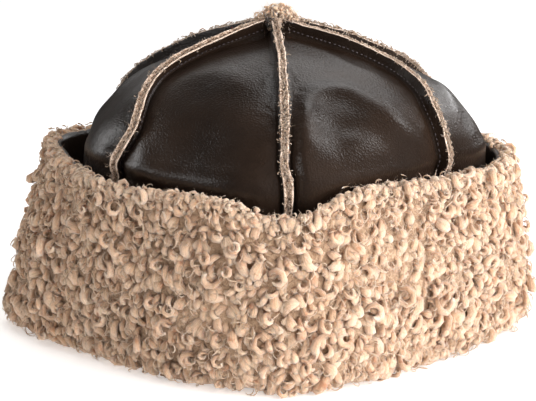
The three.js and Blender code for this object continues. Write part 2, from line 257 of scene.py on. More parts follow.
def seam_frame(seam, station):
    """Foot of the seam, the way down along it, the way across and the way its fin stands."""
    gore, across = (1, -1) if seam < 1 else (seam, 1)
    down = unit(crown_point(gore, across, np.minimum(station + 0.15, LAST))
                - crown_point(gore, across, np.maximum(station - 0.15, 0)))
    azimuth = np.radians(seam_azimuth(seam, station))
    side = np.stack([np.cos(azimuth), np.sin(azimuth), 0 * azimuth], axis=-1)
    side = unit(side - down * np.sum(side * down, axis=-1, keepdims=True))
    return crown_point(gore, across, station), down, side, np.cross(down, side)


# Meshes from arrays
def grid_faces(rows, columns, wrap_rows=False, wrap_columns=False):
    i = np.arange(rows if wrap_rows else rows - 1)
    j = np.arange(columns if wrap_columns else columns - 1)
    i, j = np.meshgrid(i, j, indexing="ij")
    i2, j2 = (i + 1) % rows, (j + 1) % columns
    return np.stack([i * columns + j, i2 * columns + j, i2 * columns + j2, i * columns + j2],
                    axis=-1).reshape(-1, 4)


def make_mesh(name, points, faces, materials, attributes=None, caps=None, kinds=None):
    """faces are quads, caps end faces with more corners, and kinds says each face's material."""
    mesh = bpy.data.meshes.new(name)
    points = np.asarray(points, np.float32).reshape(-1, 3) * MILLIMETRE
    groups = [faces] if caps is None else [faces, caps]
    loops = np.concatenate([g.ravel() for g in groups]).astype(np.int32)
    totals = np.concatenate([np.full(len(g), g.shape[1]) for g in groups]).astype(np.int32)
    starts = np.concatenate([[0], np.cumsum(totals)[:-1]]).astype(np.int32)
    mesh.vertices.add(len(points))
    mesh.vertices.foreach_set("co", points.ravel())
    mesh.loops.add(len(loops))
    mesh.loops.foreach_set("vertex_index", loops)
    mesh.polygons.add(len(totals))
    mesh.polygons.foreach_set("loop_start", starts)
    for material in materials:
        mesh.materials.append(material)
    if kinds is not None:
        mesh.polygons.foreach_set("material_index", kinds.astype(np.int32))
    mesh.update(calc_edges=True)
    mesh.validate()
    mesh.polygons.foreach_set("use_smooth", np.ones(len(mesh.polygons), bool))
    for key, values in (attributes or {}).items():
        kind, field = ("FLOAT_VECTOR", "vector") if values.ndim > 1 else ("FLOAT", "value")
        layer = mesh.attributes.new(key, kind, "POINT")
        layer.data.foreach_set(field, values.astype(np.float32).ravel())
    piece = bpy.data.objects.new(name, mesh)
    bpy.context.scene.collection.objects.link(piece)
    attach(piece, "root")
    return piece


def tubes(path, wide, thick, sides, lobes=0.0):
    """Closed tubes round N paths of K points, with half axes wide and thick of shape (N, K, 3).

    lobes is how far strands stand out of a tube's round section, as a share of it: two and three
    of them, which twist along the tube, a slow swell, and a rough surface.
    """
    n, k, _ = path.shape
    turn = 2 * np.pi * np.arange(sides) / sides
    cos, sin = (f(turn)[None, None, :, None] for f in (np.cos, np.sin))
    first, second, twist = rng.uniform(0, 2 * np.pi, (3, n, 1, 1))
    u = np.linspace(0, 1, k)[None, :, None]
    bulge = 1 + lobes * (np.cos(3 * turn + first + (twist - 3) * u)
                         + 0.7 * np.cos(2 * turn + second - twist * u)
                         + 0.5 * np.sin(9 * u + first + second))
    bulge = bulge + lobes * rng.normal(0, 0.45, (n, k, sides))
    points = path[:, :, None] + (wide[:, :, None] * cos + thick[:, :, None] * sin) * bulge[..., None]
    one = grid_faces(k, sides, wrap_columns=True)
    ends = np.stack([np.arange(sides)[::-1], (k - 1) * sides + np.arange(sides)])
    shift = (np.arange(n) * k * sides)[:, None, None]
    return points, (one[None] + shift).reshape(-1, 4), (ends[None] + shift).reshape(-1, sides)


# Materials
def feed(tree, inputs, values):
    """Inputs, by name or number, are linked to another node's output or set to a value."""
    for key, value in values.items():
        if isinstance(value, bpy.types.NodeSocket):
            tree.links.new(value, inputs[key])
        else:
            inputs[key].default_value = value


def add_node(tree, kind, values=None, **settings):
    made = tree.nodes.new("ShaderNode" + kind)
    for key, value in settings.items():
        setattr(made, key, value)
    feed(tree, made.inputs, values or {})
    return made


class Shader:
    """A material with its Principled shader, and short calls for the nodes that feed it."""

    def __init__(self, name, roughness, specular=0.5, sheen=0.0):
        self.material = bpy.data.materials.new(name)
        self.material.use_nodes = True
        self.tree = self.material.node_tree
        self.surface({"Roughness": roughness, "Specular IOR Level": specular,
                      "Sheen Weight": sheen, "Sheen Roughness": 0.5})

    def surface(self, values):
        feed(self.tree, self.tree.nodes["Principled BSDF"].inputs, values)

    def place(self):
        return add_node(self.tree, "TexCoord").outputs["Object"]

    def attribute(self, name, output="Fac"):
        return add_node(self.tree, "Attribute", attribute_name=name).outputs[output]

    def noise(self, where, scale, detail=2.0, distortion=0.0, roughness=0.5):
        values = {"Vector": where, "Scale": scale, "Detail": detail, "Distortion": distortion,
                  "Roughness": roughness}
        return add_node(self.tree, "TexNoise", values).outputs["Fac"]

    def ramp(self, value, stops):
        made = add_node(self.tree, "ValToRGB", {"Fac": value})
        ramp = made.color_ramp
        while len(ramp.elements) < len(stops):
            ramp.elements.new(0.5)
        for element, (position, colour) in zip(ramp.elements, stops):
            element.position = position
            element.color = (*colour, 1)
        return made.outputs["Color"]

    def mix(self, factor, a, b, blend="MIX"):
        a, b = ((*colour, 1) if isinstance(colour, tuple) else colour for colour in (a, b))
        return add_node(self.tree, "Mix", {0: factor, 6: a, 7: b}, data_type="RGBA",
                        blend_type=blend).outputs[2]

    def math(self, operation, a, b):
        return add_node(self.tree, "Math", {0: a, 1: b}, operation=operation).outputs[0]

    def bump(self, height, distance, strength, under=None):
        values = {"Height": height, "Distance": distance, "Strength": strength}
        if under is not None:
            values["Normal"] = under
        return add_node(self.tree, "Bump", values).outputs["Normal"]


def grey(value):
    return (value, value, value)


# Colours, as linear red, green and blue
LEATHER_DARK, LEATHER_LIGHT = (0.013, 0.0074, 0.0046), (0.029, 0.0172, 0.0112)
LEATHER_GRAIN = (0.004, 0.0027, 0.0023)
EDGE_DARK, EDGE_MIDDLE, EDGE_PALE = (0.12, 0.062, 0.032), (0.60, 0.42, 0.295), (0.90, 0.73, 0.60)
LOCK_WARMTH = (0.92, 0.80, 0.68)
RUST = (0.62, 0.33, 0.185)
# the pile's tones, darker than the locks' partly as painted shade in the gaps between them
PILE_DARK, PILE_LIGHT = (0.26, 0.155, 0.088), (0.60, 0.42, 0.28)
THREAD_DARK, THREAD_LIGHT = (0.03, 0.024, 0.025), (0.13, 0.11, 0.115)


def leather_material():
    """Dark leather with a fine pebbled grain, faint creases and uneven gloss."""
    s = Shader("dark_leather", roughness=0.42, specular=0.5)
    where = s.place()
    tone = s.ramp(s.noise(where, 28, detail=4), [(0.3, LEATHER_DARK), (0.7, LEATHER_LIGHT)])
    pebble = add_node(s.tree, "TexVoronoi", {"Vector": where, "Scale": 1150.0},
                      feature="SMOOTH_F1").outputs["Distance"]
    fine = s.noise(where, 2000, detail=3)
    wrinkle = s.noise(where, 260, detail=4, distortion=0.6, roughness=0.55)
    gloss = s.ramp(s.noise(where, 60, detail=5), [(0.3, grey(0.27)), (0.75, grey(0.38))])
    creased = s.bump(wrinkle, 0.00015, 0.5)
    pebbled = s.bump(pebble, 0.00037, 0.5, under=creased)
    grained = s.mix(s.math("MULTIPLY", pebble, 0.35), tone, LEATHER_GRAIN)
    s.surface({"Base Color": grained, "Roughness": gloss,
               "Normal": s.bump(fine, 0.00013, 0.5, under=pebbled)})
    return s.material


def hide_material():
    """The cut edges of a seam: brown wool between them, the hide's pale pink section outside."""
    s = Shader("cut_hide", roughness=0.85, specular=0.2, sheen=0.3)
    where = s.place()
    speck = s.noise(where, 620, detail=4, distortion=1.5, roughness=0.7)
    stray = s.math("MULTIPLY", s.math("SUBTRACT", speck, 0.48), 5.0)
    edge = s.ramp(s.math("ADD", s.attribute("lip"), stray),
                  [(0.17, EDGE_DARK), (0.62, EDGE_MIDDLE), (1.0, EDGE_PALE)])
    dust = s.ramp(s.noise(where, 1500, detail=3), [(0.30, grey(0.66)), (0.55, grey(1.0))])
    s.surface({"Base Color": s.mix(0.7, edge, dust, blend="MULTIPLY"),
               "Normal": s.bump(speck, 0.0007, 0.8)})
    return s.material


def wool_material(name, root, middle, tip):
    """Wool along a lock, with painted shade and light: dark where it leaves the hide down between the
    locks, pale where it meets the light.
    """
    s = Shader(name, roughness=0.8, specular=0.15, sheen=0.5)
    where = s.place()
    fibres = s.noise(s.attribute("strand", "Vector"), 1.0, detail=3, roughness=0.6)
    fluff = s.noise(where, 1250, detail=3, roughness=0.7)
    stray = s.math("MULTIPLY", s.math("SUBTRACT", fibres, 0.5), 0.35)
    # painted shade at a lock's root and painted light at its tip, along the lock
    body = s.ramp(s.math("ADD", s.attribute("along"), stray),
                  [(0.0, root), (0.45, middle), (1.0, tip)])
    warm = s.mix(s.math("MULTIPLY", s.attribute("lock"), 0.55), body, LOCK_WARMTH, blend="MULTIPLY")
    fleck = s.ramp(s.noise(where, 240, detail=4, distortion=0.8),
                   [(0.56, grey(0.0)), (0.70, grey(0.6))])
    rusty = s.mix(fleck, warm, RUST, blend="MULTIPLY")
    streak = s.ramp(s.math("ADD", s.math("MULTIPLY", fibres, 0.6), s.math("MULTIPLY", fluff, 0.4)),
                    [(0.36, grey(0.62)), (0.57, grey(1.0))])
    s.surface({"Base Color": s.mix(0.8, rusty, streak, blend="MULTIPLY"),
               "Normal": s.bump(fluff, 0.0008, 0.7, under=s.bump(fibres, 0.0009, 0.7)),
               "Subsurface Weight": 0.25, "Subsurface Radius": (1.0, 0.62, 0.42),
               "Subsurface Scale": 0.0022})
    return s.material


def pile_material():
    """The short wool inside the crown and under the locks, darker than the locks: partly its own tone,
    partly painted shade in the gaps between them.
    """
    s = Shader("wool_pile", roughness=0.9, specular=0.2, sheen=0.3)
    curl = s.noise(s.place(), 330, detail=5, distortion=2.5)
    s.surface({"Base Color": s.ramp(curl, [(0.32, PILE_DARK), (0.7, PILE_LIGHT)]),
               "Normal": s.bump(curl, 0.0016, 0.9)})
    return s.material


def thread_material():
    s = Shader("seam_thread", roughness=0.6, specular=0.4)
    twist = s.noise(s.place(), 2600, detail=2)
    s.surface({"Base Color": s.ramp(twist, [(0.3, THREAD_DARK), (0.7, THREAD_LIGHT)]),
               "Normal": s.bump(twist, 0.0001, 0.8)})
    return s.material


LEATHER = leather_material()
HIDE = hide_material()
PILE = pile_material()
THREAD = thread_material()
# root, middle and tip colours of each wool: the dark root is painted shade, the pale tip painted light
WOOL = wool_material("curly_wool", (0.42, 0.24, 0.135), (0.81, 0.575, 0.40), (0.97, 0.79, 0.635))
DARK_WOOL = wool_material("dark_wool", (0.02, 0.013, 0.009), (0.06, 0.040, 0.028), (0.16, 0.11, 0.08))
SEAM_WOOL = wool_material("seam_wool", (0.26, 0.15, 0.085), (0.62, 0.43, 0.30), (0.90, 0.72, 0.57))

# Crown: one sheet of hide for each gore, with its raw edges turned outwards. Its rows are close
# together down to the rim and far apart inside the cuff.
FINE_TO = 8.8
STATIONS = np.concatenate([np.linspace(0, FINE_TO, 104), np.linspace(FINE_TO, LAST, 9)[1:]])
PANEL_COLUMNS = 46
PANEL_MARGIN = 0.5  # from a raw edge's foot to the panel
WIDEST_SHARE = 0.76  # of a half gore that a raw edge's foot takes up near the peak
COLUMN_CROWDING = 0.09  # towards the seams
INNER_LEVELS, INNER_COLUMNS = 46, 26
# a raw edge from the gap of the seam to the panel: rise from the foot as a share of the fin and
# in millimetres, and distance from the middle of the seam
LIP = [
    (0.0, -1.2, 0.0), (0.55, 0.0, 0.0), (1.0, -1.15, 0.0), (1.0, -0.70, 0.25), (1.0, -0.30, 0.75),
    (1.0, -0.10, 1.00), (1.0, 0.10, 1.18), (1.0, 0.08, 1.62), (1.0, -0.18, 1.80), (0.82, 0.0, 1.85),
    (0.6, 0.0, 1.85), (0.4, 0.0, 1.85), (0.0, 1.3, 1.90), (0.0, 0.65, 2.1), (0.0, 0.22, 2.5),
    (0.0, 0.03, 3.1),
]
LIP_EDGE = 1.85
LIP_OUTER_FROM = 0.9
LIP_HIDE_FACES = 8
EDGE_GROWTH = 0.16  # of a raw edge's width for each millimetre from the peak
# seams whose fins lean over, in degrees towards the gore after them
LEAN = {5: 27}
# the front fin is cut lower above the cuff, as a share of its height
FRONT_FIN_LOWER = 0.32


def edge_scale(station, least=0):
    """Raw edges get narrower towards the peak, as a share of their full width."""
    return np.minimum(1, least + EDGE_GROWTH * seam_radius(station))


def fin_height(seam, station):
    """Raw edges were cut by hand, so the fin's height wanders."""
    fin = along(CROWN[:, FIN], station)
    if seam % GORES == 0:
        fin = fin * (1 - FRONT_FIN_LOWER * smooth(station, 3.4, 5.4))
    foot = seam_frame(seam, station)[0]
    return fin * (1 + 0.05 * noise(foot, 9.0, seam * 1.7)) + 0.22 * noise(foot, 2.4, seam * 3.1)


def leaning(seam, station, side, up, share=1.0):
    """Side and up of a seam whose fin leans over towards the gore after it."""
    angle = np.radians(LEAN.get(seam % GORES, 0)) * share * smooth(station, 0.4, 2.2)
    sin, cos = (f(np.asarray(angle))[..., None] for f in (np.sin, np.cos))
    return side * cos - up * sin, up * cos + side * sin


def lip_rail(seam, station, end):
    """Points of one raw edge of a seam, towards the gore before it (end 1) or after it (-1)."""
    foot, _, side, up = seam_frame(seam, station)
    fin = fin_height(seam, station)
    scale = edge_scale(station)
    wave = 0.50 * noise(foot, 14.0, 5 + end * 2.3) + 0.30 * noise(foot, 3.1, end * 4.3)
    ragged = 0.22 * noise(foot, 1.9, 11 + end * 3.7)
    rail = []
    for share, rise, offset in LIP:
        stray = (wave + ragged * share ** 3) * share * (offset / LIP_EDGE)
        out = (SEAM_GAP / 2 + offset * scale + stray)[:, None]
        lift = share * fin + rise * scale + ragged * share ** 3 * (offset > LIP_OUTER_FROM)
        side_at, up_at = leaning(seam, station, side, up, share=smooth(share, 0, 0.6))
        rail.append(foot + up_at * lift[:, None] - side_at * end * out)
    return np.stack(rail, axis=1), (SEAM_GAP / 2 + LIP[-1][2] * scale)


def relief(gore, points, across):
    """Soft waves, folds and the puckers beside the seams, in millimetres along the normal."""
    pucker = np.exp(-((1 - np.abs(across) - 0.16) / 0.11) ** 2)
    total = 0.42 * pucker * noise(points * np.array([1, 1, 1.3]), 4.6, gore * 1.9)
    total = total + 0.45 * noise(points, 27.0, gore * 1.31) + 0.14 * noise(points, 11.0, gore * 2.17)
    for where, rise, half_width, stops in FOLDS:
        if where == gore:
            stops = np.array(stops)
            way = np.linspace(0, len(stops) - 1, 48)
            line = crown_point(gore, along(stops[:, 0], way), along(stops[:, 1], way))
            fade = np.sin(np.pi * np.linspace(0.06, 0.94, len(way))) ** 0.6
            gap = np.linalg.norm(points[..., None, :] - line, axis=-1)
            total = total + rise * np.max(np.exp(-(gap / half_width) ** 2) * fade, axis=-1)
    return total


def gore_sheet(gore):
    """Rows of points from the seam's gap over one raw edge, the panel and the other raw edge."""
    first, first_reach = lip_rail(gore - 1, STATIONS, -1)
    second, second_reach = lip_rail(gore, STATIONS, 1)
    half = seam_radius(STATIONS) * math.radians(GORE_ANGLE / 2)
    shares = [np.minimum((reach + PANEL_MARGIN) / half, WIDEST_SHARE)[:, None]
              for reach in (first_reach, second_reach)]
    t = np.linspace(0, 1, PANEL_COLUMNS)[None]
    t = t - COLUMN_CROWDING * np.sin(2 * np.pi * t)
    across = lerp(shares[0] - 1, 1 - shares[1], t)
    level = np.broadcast_to(STATIONS[:, None], across.shape)
    panel = crown_point(gore, across, level)
    normal = crown_normal(gore, across, level)
    edge = smooth(1 - np.abs(across), 0, 0.22) * smooth(level, 0, 1.2)
    panel = panel + normal * (relief(gore, panel, across) * edge)[..., None]
    sheet = np.concatenate([first, panel, second[:, ::-1]], axis=1)
    sheet[-1, :, 2] = SHELF_HEIGHT + SEAM_GAP
    return sheet


def gore_inside(gore):
    """Rows of points on the short wool inside, which is thinner near the peak."""
    station = np.linspace(0, LAST, INNER_LEVELS)[:, None]
    across = np.linspace(-1, 1, INNER_COLUMNS)[None] * 0.995
    inner = crown_point(gore, across, station)
    depth = np.minimum(GORE_THICKNESS, 2 + 0.5 * seam_radius(station))
    depth = depth + 0.5 * noise(inner, 4.0, 3.3) - 0.4
    inner = inner - crown_normal(gore, across * 0.98, station) * depth[..., None]
    inner[-1, :, 2] = SHELF_HEIGHT + SEAM_GAP
    return inner


def make_gore(gore):
    """Leather outside, hide at the raw edges and short wool inside, as materials 0, 1 and 2."""
    sheet, inner = gore_sheet(gore), gore_inside(gore)
    rows, columns = sheet.shape[:2]
    strip = np.full(columns - 1, 0)
    strip[:LIP_HIDE_FACES] = strip[-LIP_HIDE_FACES:] = 1
    lip = np.ones(columns)
    lip[:len(LIP)] = [offset / LIP_EDGE for _, _, offset in LIP]
    lip[-len(LIP):] = lip[:len(LIP)][::-1]
    inner_faces = grid_faces(INNER_LEVELS, INNER_COLUMNS)[:, ::-1] + rows * columns
    points = np.concatenate([sheet.reshape(-1, 3), inner.reshape(-1, 3)])
    faces = np.concatenate([grid_faces(rows, columns), inner_faces])
    kinds = np.concatenate([np.tile(strip, rows - 1), np.full(len(inner_faces), 2)])
    lip = np.concatenate([np.tile(lip, rows), np.zeros(inner[..., 0].size)])
    piece = make_mesh(f"gore_{gore}", points, faces, [LEATHER, HIDE, PILE], {"lip": lip},
                      kinds=kinds)
    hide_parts(f"crown_gore_{gore}")


for gore in range(1, GORES + 1):
    make_gore(gore)


# Curled locks, wisps and hairs
def curled_paths(root, out, lie, tilt, start, turn, radius, rise, drop, steps):
    """Paths that leave root along out, bend over towards lie and curl.

    tilt turns the curl's axis from across (0) to straight out of the skin (pi/2). start is the
    angle between the first step and out, turn the whole angle, radius the curl's radius at its
    foot and tip, rise the straight part's length and drop the shift along the axis.
    """
    across = unit(np.cross(out, lie))
    lie = np.cross(across, out)
    axis = unit(across * np.cos(tilt)[:, None] + out * np.sin(tilt)[:, None])
    first = out * np.cos(start)[:, None] + lie * np.sin(start)[:, None]
    first = unit(first - axis * np.sum(first * axis, axis=1, keepdims=True))
    second = np.cross(axis, first)
    u = np.linspace(0, 1, steps)
    angle = turn[:, None] * smooth(u, 0.0, 1.0)[None] * 0.35 + turn[:, None] * u[None] * 0.65
    bend = lerp(radius[:, :1], radius[:, 1:], u[None])
    middle = (angle[:, 1:] + angle[:, :-1]) / 2
    length = np.diff(angle, axis=1) * (bend[:, 1:] + bend[:, :-1]) / 2
    length = length + rise[:, None] * (1 - u[None, 1:]) ** 3 * 3 / (steps - 1)
    step = (first[:, None] * np.cos(middle)[..., None] + second[:, None] * np.sin(middle)[..., None])
    step = (step + axis[:, None] * drop[:, None, None]) * length[..., None]
    path = np.concatenate([root[:, None], root[:, None] + np.cumsum(step, axis=1)], axis=1)
    heading = (first[:, None] * np.cos(angle)[..., None] + second[:, None] * np.sin(angle)[..., None])
    return path, heading, np.broadcast_to(axis[:, None], path.shape)


# how far apart two locks lie in the pattern of fibres, and how it is drawn out along a lock
LOCK_SHIFT, SECOND_SHIFT, FIBRE_STRETCH = 91, 37, 0.20
# steps along a lock, sides of it, its thickness over its width, how far its strands stand out
CUFF_LOCK, RIM_LOCK, WISP = (8, 6, 0.75, 0.13), (6, 6, 0.7, 0.12), (8, 3, 0.8, 0.0)
SEAM_CURL, TUFT_LOCK, DARK_CURL = (5, 3, 0.8, 0.0), (6, 5, 0.75, 0.12), (10, 4, 0.9, 0.0)


def wool_attributes(shape, lock, way, strand):
    """A lock's own tone, the way from its root to its tip, and a place that follows its fibres."""
    return {
        "lock": np.broadcast_to(lock, shape).ravel(),
        "along": np.broadcast_to(way, shape).ravel(),
        "strand": np.broadcast_to(strand, shape + (3,)).reshape(-1, 3),
    }


def lock_attributes(points, lock, length, strands):
    """The same for a lock's round tube, with strands as the radius of its pattern of fibres."""
    shape = points.shape[:3]
    u = np.linspace(0, 1, shape[1])[None, :, None]
    turn = 2 * np.pi * np.arange(shape[2]) / shape[2]
    lock, length, strands = (values[:, None, None] for values in (lock, length, strands))
    strand = np.stack(np.broadcast_arrays(
        strands * np.cos(turn) + lock * LOCK_SHIFT, strands * np.sin(turn) + lock * SECOND_SHIFT,
        u * length * FIBRE_STRETCH), axis=-1)
    return wool_attributes(shape, lock, u, strand)


def swell(u, root, tip_from):
    """Half width along a lock, from its root to its rounded end."""
    body = (root + (1 - root) * smooth(u, 0.0, 0.4)) * (1 - 0.5 * smooth(u, 0.45, 1.0))
    end = np.clip((u - tip_from) / (1 - tip_from), 0, 1)
    return body * np.sqrt(np.clip(1 - end ** 2, 0, 1)) + 0.03


def make_locks(root, out, lie, size, bend, tilt, turn, rise, shade, form):
    """One tube for each lock. size is its half width and bend its curl's radius."""
    steps, sides, flat, lobes = form
    n = len(root)
    radius = np.stack([bend * rng.uniform(0.9, 1.25, n), bend * rng.uniform(0.5, 0.8, n)], axis=1)
    start = rng.uniform(-0.35, 0.45, n)
    drop = rng.uniform(-0.35, 0.35, n)
    path, heading, axis = curled_paths(root, out, lie, tilt, start, turn, radius, rise, drop, steps)
    u = np.linspace(0, 1, steps)
    half = size[:, None] * swell(u, 0.5, 0.66)[None]
    wide = axis * half[..., None]
    thick = np.cross(heading, axis) * (half * flat)[..., None]
    points, quads, caps = tubes(path, wide, thick, sides, lobes)
    length = np.sum(np.linalg.norm(np.diff(path, axis=1), axis=2), axis=1)
    return points, quads, lock_attributes(points, shade, length, 2.0 + 1.9 * size), caps


def ribbons(root, first, curl, length, width, segments=3):
    """Single hairs as narrow ribbons."""
    n = len(root)
    u = np.linspace(0, 1, segments + 1)[None, :, None]
    path = root[:, None] + first[:, None] * length[:, None, None] * u + curl[:, None] * u ** 2
    side = unit(np.cross(first, curl + first[:, [1, 2, 0]] * 0.01))
    half = side[:, None] * (width[:, None, None] * (1 - 0.8 * u) / 2)
    points = np.stack([path - half, path + half], axis=2)
    one = grid_faces(segments + 1, 2)
    shift = (np.arange(n) * (segments + 1) * 2)[:, None, None]
    shade = rng.uniform(0, 0.5, n)[:, None, None]
    attributes = wool_attributes(points.shape[:3], shade, 0.55 + 0.45 * u,
                                 (shade * LOCK_SHIFT + u)[..., None])
    return points, (one[None] + shift).reshape(-1, 4), attributes


def show_wool(name, nodes, material, points, quads, attributes, caps=None):
    """A piece of wool that stands for the nodes."""
    piece = make_mesh(name, points, quads, [material], attributes, caps)
    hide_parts(*nodes)


# Cuff

# along the wool's outer face, the shares of the way at which its outline turns, and the belly
# between two of them
FACE_KNOTS = np.array([0, 0.085, 0.135, 0.215, 0.87, 0.925, 0.965, 1.0])
BELLY_FROM, BELLY_LENGTH, BELLY = 0.215, 0.655, 2
CUFF_SIDES = 260
SKIN_DEPTH = 4.2  # from the tips of the locks to the felted wool between them


def cuff_face(azimuth, share):
    """A point of the wool's outer face. share runs from under the cuff to the rim's inner edge."""
    base, rim, top = (around(CUFF, k, azimuth) for k in (BASE, RIM, TOP))
    top = top + around(RIM_RISE, 1, azimuth)
    stops = [(base - 13, 0.5), (base - 4.5, 0.5), (base - 1, 4), (base, 12), (rim, top - 6),
             (rim - 1.6, top - 1.6), (rim - 5.2, top), (rim - 9, top - 1.4)]
    share = share + 0 * azimuth
    i = np.clip(np.searchsorted(FACE_KNOTS, share, side="right") - 1, 0, len(FACE_KNOTS) - 2)
    t = (share - FACE_KNOTS[i]) / (FACE_KNOTS[i + 1] - FACE_KNOTS[i])
    r, z = (np.choose(i, [lerp(a[k], b[k], t) for a, b in zip(stops, stops[1:])]) for k in (0, 1))
    belly = BELLY * np.sin(np.pi * np.clip((share - BELLY_FROM) / BELLY_LENGTH, 0, 1))
    return place(azimuth, r + belly, z)


def cuff_frame(azimuth, share):
    """A point of the wool's face with its outward normal and the way down along it."""
    step = 0.035
    up = cuff_face(azimuth, np.minimum(share + step, 1)) - cuff_face(azimuth, np.maximum(share - step, 0))
    side = cuff_face(azimuth + 2, share) - cuff_face(azimuth - 2, share)
    return cuff_face(azimuth, share), unit(np.cross(side, up)), -unit(up)


def make_cuff():
    """The hide of the cuff: its felted wool face, under the locks, and its leather side."""
    azimuth = np.linspace(0, 360, CUFF_SIDES, endpoint=False)
    fold = pocket_radius(azimuth, SHELF_HEIGHT)
    inside = fold - POCKET_GAP - GORE_THICKNESS - SHELF_WIDTH
    top = around(CUFF, TOP, azimuth)
    rim = around(CUFF, RIM, azimuth)
    section = [place(azimuth, inside, 3), place(azimuth, inside + 5, 0.3)]
    for share in np.linspace(0, 1, 34):
        face, out, _ = cuff_frame(azimuth, share)
        depth = SKIN_DEPTH + 0.9 * noise(face, 5.0, 4.4)
        depth = depth * smooth(share, -0.02, 0.12) * lerp(1, 0.45, smooth(share, 0.93, 1.0))
        section.append(face - out * depth[:, None])
    wool_faces = len(section) - 1
    bulge = 0.35 * noise(place(azimuth, rim, top), 16.0, 8.0)
    levels = [(top - 3.5, 1), (top - 6, 1), (top - 14, 1)]
    levels += [(share * top, share) for share in np.linspace(0.8, 0.2, 9)]
    for height, share in levels:
        section.append(place(azimuth, pocket_radius(azimuth, height) + bulge * share, height))
    section += [place(azimuth, fold, SHELF_HEIGHT + 4), place(azimuth, fold - 0.5, SHELF_HEIGHT),
                place(azimuth, inside, SHELF_HEIGHT)]
    points = np.stack(section, axis=1)
    points[..., 2] = np.maximum(points[..., 2], 0.02)
    kinds = np.ones(len(section), int)
    kinds[:wool_faces] = 0
    kinds[-1] = 0
    faces = grid_faces(CUFF_SIDES, len(section), wrap_rows=True, wrap_columns=True)
    piece = make_mesh("cuff_hide", points, faces, [PILE, LEATHER],
                      kinds=np.tile(kinds, CUFF_SIDES))
    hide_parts("cuff")


make_cuff()

# Wool of the cuff: rows of locks from under the fold to the rim, and how many hairs and wisps
LOCK_ROWS, LOCK_COLUMNS, LOCKS_FROM, LOCKS_TO = 22, 188, 0.035, 0.955
RIM_ROWS, RIM_COLUMNS, RIM_FROM = 3, 230, 0.91
WISPS = 2400
HAIRS = 2600
LOCK_HAIRS = 5200
RIM_HAIRS = 4400
PRESSED_BELOW = 1.2  # height under which the hat's weight presses the wool flat
HIDE_COVER = 0.8  # least wool between a lock and the cuff's leather side
RIM_OVERHANG = 4  # how far a lock of the rim may hang over the leather side
# half width of a lock, its spread, least and most; then curl radius over half width, tilt of the
# curl's axis and whole turn, of a plain curl and of a ring
LOCK_HALF, LOCK_SPREAD, LOCK_LEAST, LOCK_MOST = 1.95, 0.27, 1.2, 3.1
RING_SHARE = 0.10
CURL_BEND, RING_BEND = (0.95, 1.45), (1.0, 1.25)
CURL_TILT, RING_TILT = (0, 0.5), (0.6, 1.3)
CURL_TURN, RING_TURN = (3.0, 5.2), (4.8, 6.8)


def seeds(rows, columns, low, high):
    """Uneven staggered rows of roots round the cuff, as azimuths and shares of its face."""
    row, column = np.meshgrid(np.arange(rows), np.arange(columns), indexing="ij")
    share = low + (high - low) * (row + 0.5 + rng.uniform(-0.48, 0.48, row.shape)) / rows
    azimuth = 360 * (column + 0.5 * (row % 2) + rng.uniform(-0.46, 0.46, row.shape)) / columns
    return azimuth.ravel() % 360, share.ravel()


def lie_direction(face, out, down, spread):
    """The way the locks lean: down the cuff, wandering in patches and from lock to lock."""
    side = np.cross(out, down)
    angle = (0.8 * noise(face, 17.0, 2.2) + 0.9 * noise(face, 7.0, 9.2)
             + rng.normal(0, spread, len(face)))
    return down * np.cos(angle)[:, None] + side * np.sin(angle)[:, None]


def keep_above_floor(points):
    """Locks under the cuff are pressed flat by the hat's weight."""
    height = points[..., 2]
    pressed = 0.15 + 1.05 * np.exp((np.minimum(height, PRESSED_BELOW) - PRESSED_BELOW) / 1.05)
    points[..., 2] = np.where(height < PRESSED_BELOW, pressed, height)
    return points


def keep_behind_hide(points):
    """Locks may hang over the rim's inner edge, but none comes through the leather below it."""
    flat = points - CENTRE
    azimuth = np.degrees(np.arctan2(flat[..., 0], -flat[..., 1]))
    radius = np.hypot(flat[..., 0], flat[..., 1])
    height = points[..., 2]
    drop = around(CUFF, TOP, azimuth) - height
    least = pocket_radius(azimuth, height) + lerp(-RIM_OVERHANG, HIDE_COVER, smooth(drop, 2, 8))
    inside = (radius < least) & (height > SHELF_HEIGHT)
    flat = flat * np.where(inside, least / radius, 1)[..., None]
    return np.stack([flat[..., 0] + CENTRE[0], flat[..., 1] + CENTRE[1], height], axis=-1)


def lock_shade(face):
    """A lock's own tone from 0 to 1: patches, and a little from lock to lock."""
    return np.clip(0.5 + 0.35 * noise(face, 21.0, 1.1) + rng.normal(0, 0.2, len(face)), 0, 1)


def show_cuff_wool(name, points, quads, attributes, caps=None):
    points = keep_behind_hide(keep_above_floor(points))
    show_wool(name, ["cuff"], WOOL, points, quads, attributes, caps)


def plant(face, out, lie, depth, size, bend, tilt, turn, rise, form, back=0.9, tone=1):
    """Locks whose roots lie under the wool's face, and back against the way they lean."""
    root = face - out * depth[:, None] - lie * (bend * back)[:, None]
    return make_locks(root, out, lie, size, bend, tilt, turn, rise, lock_shade(face) * tone, form)


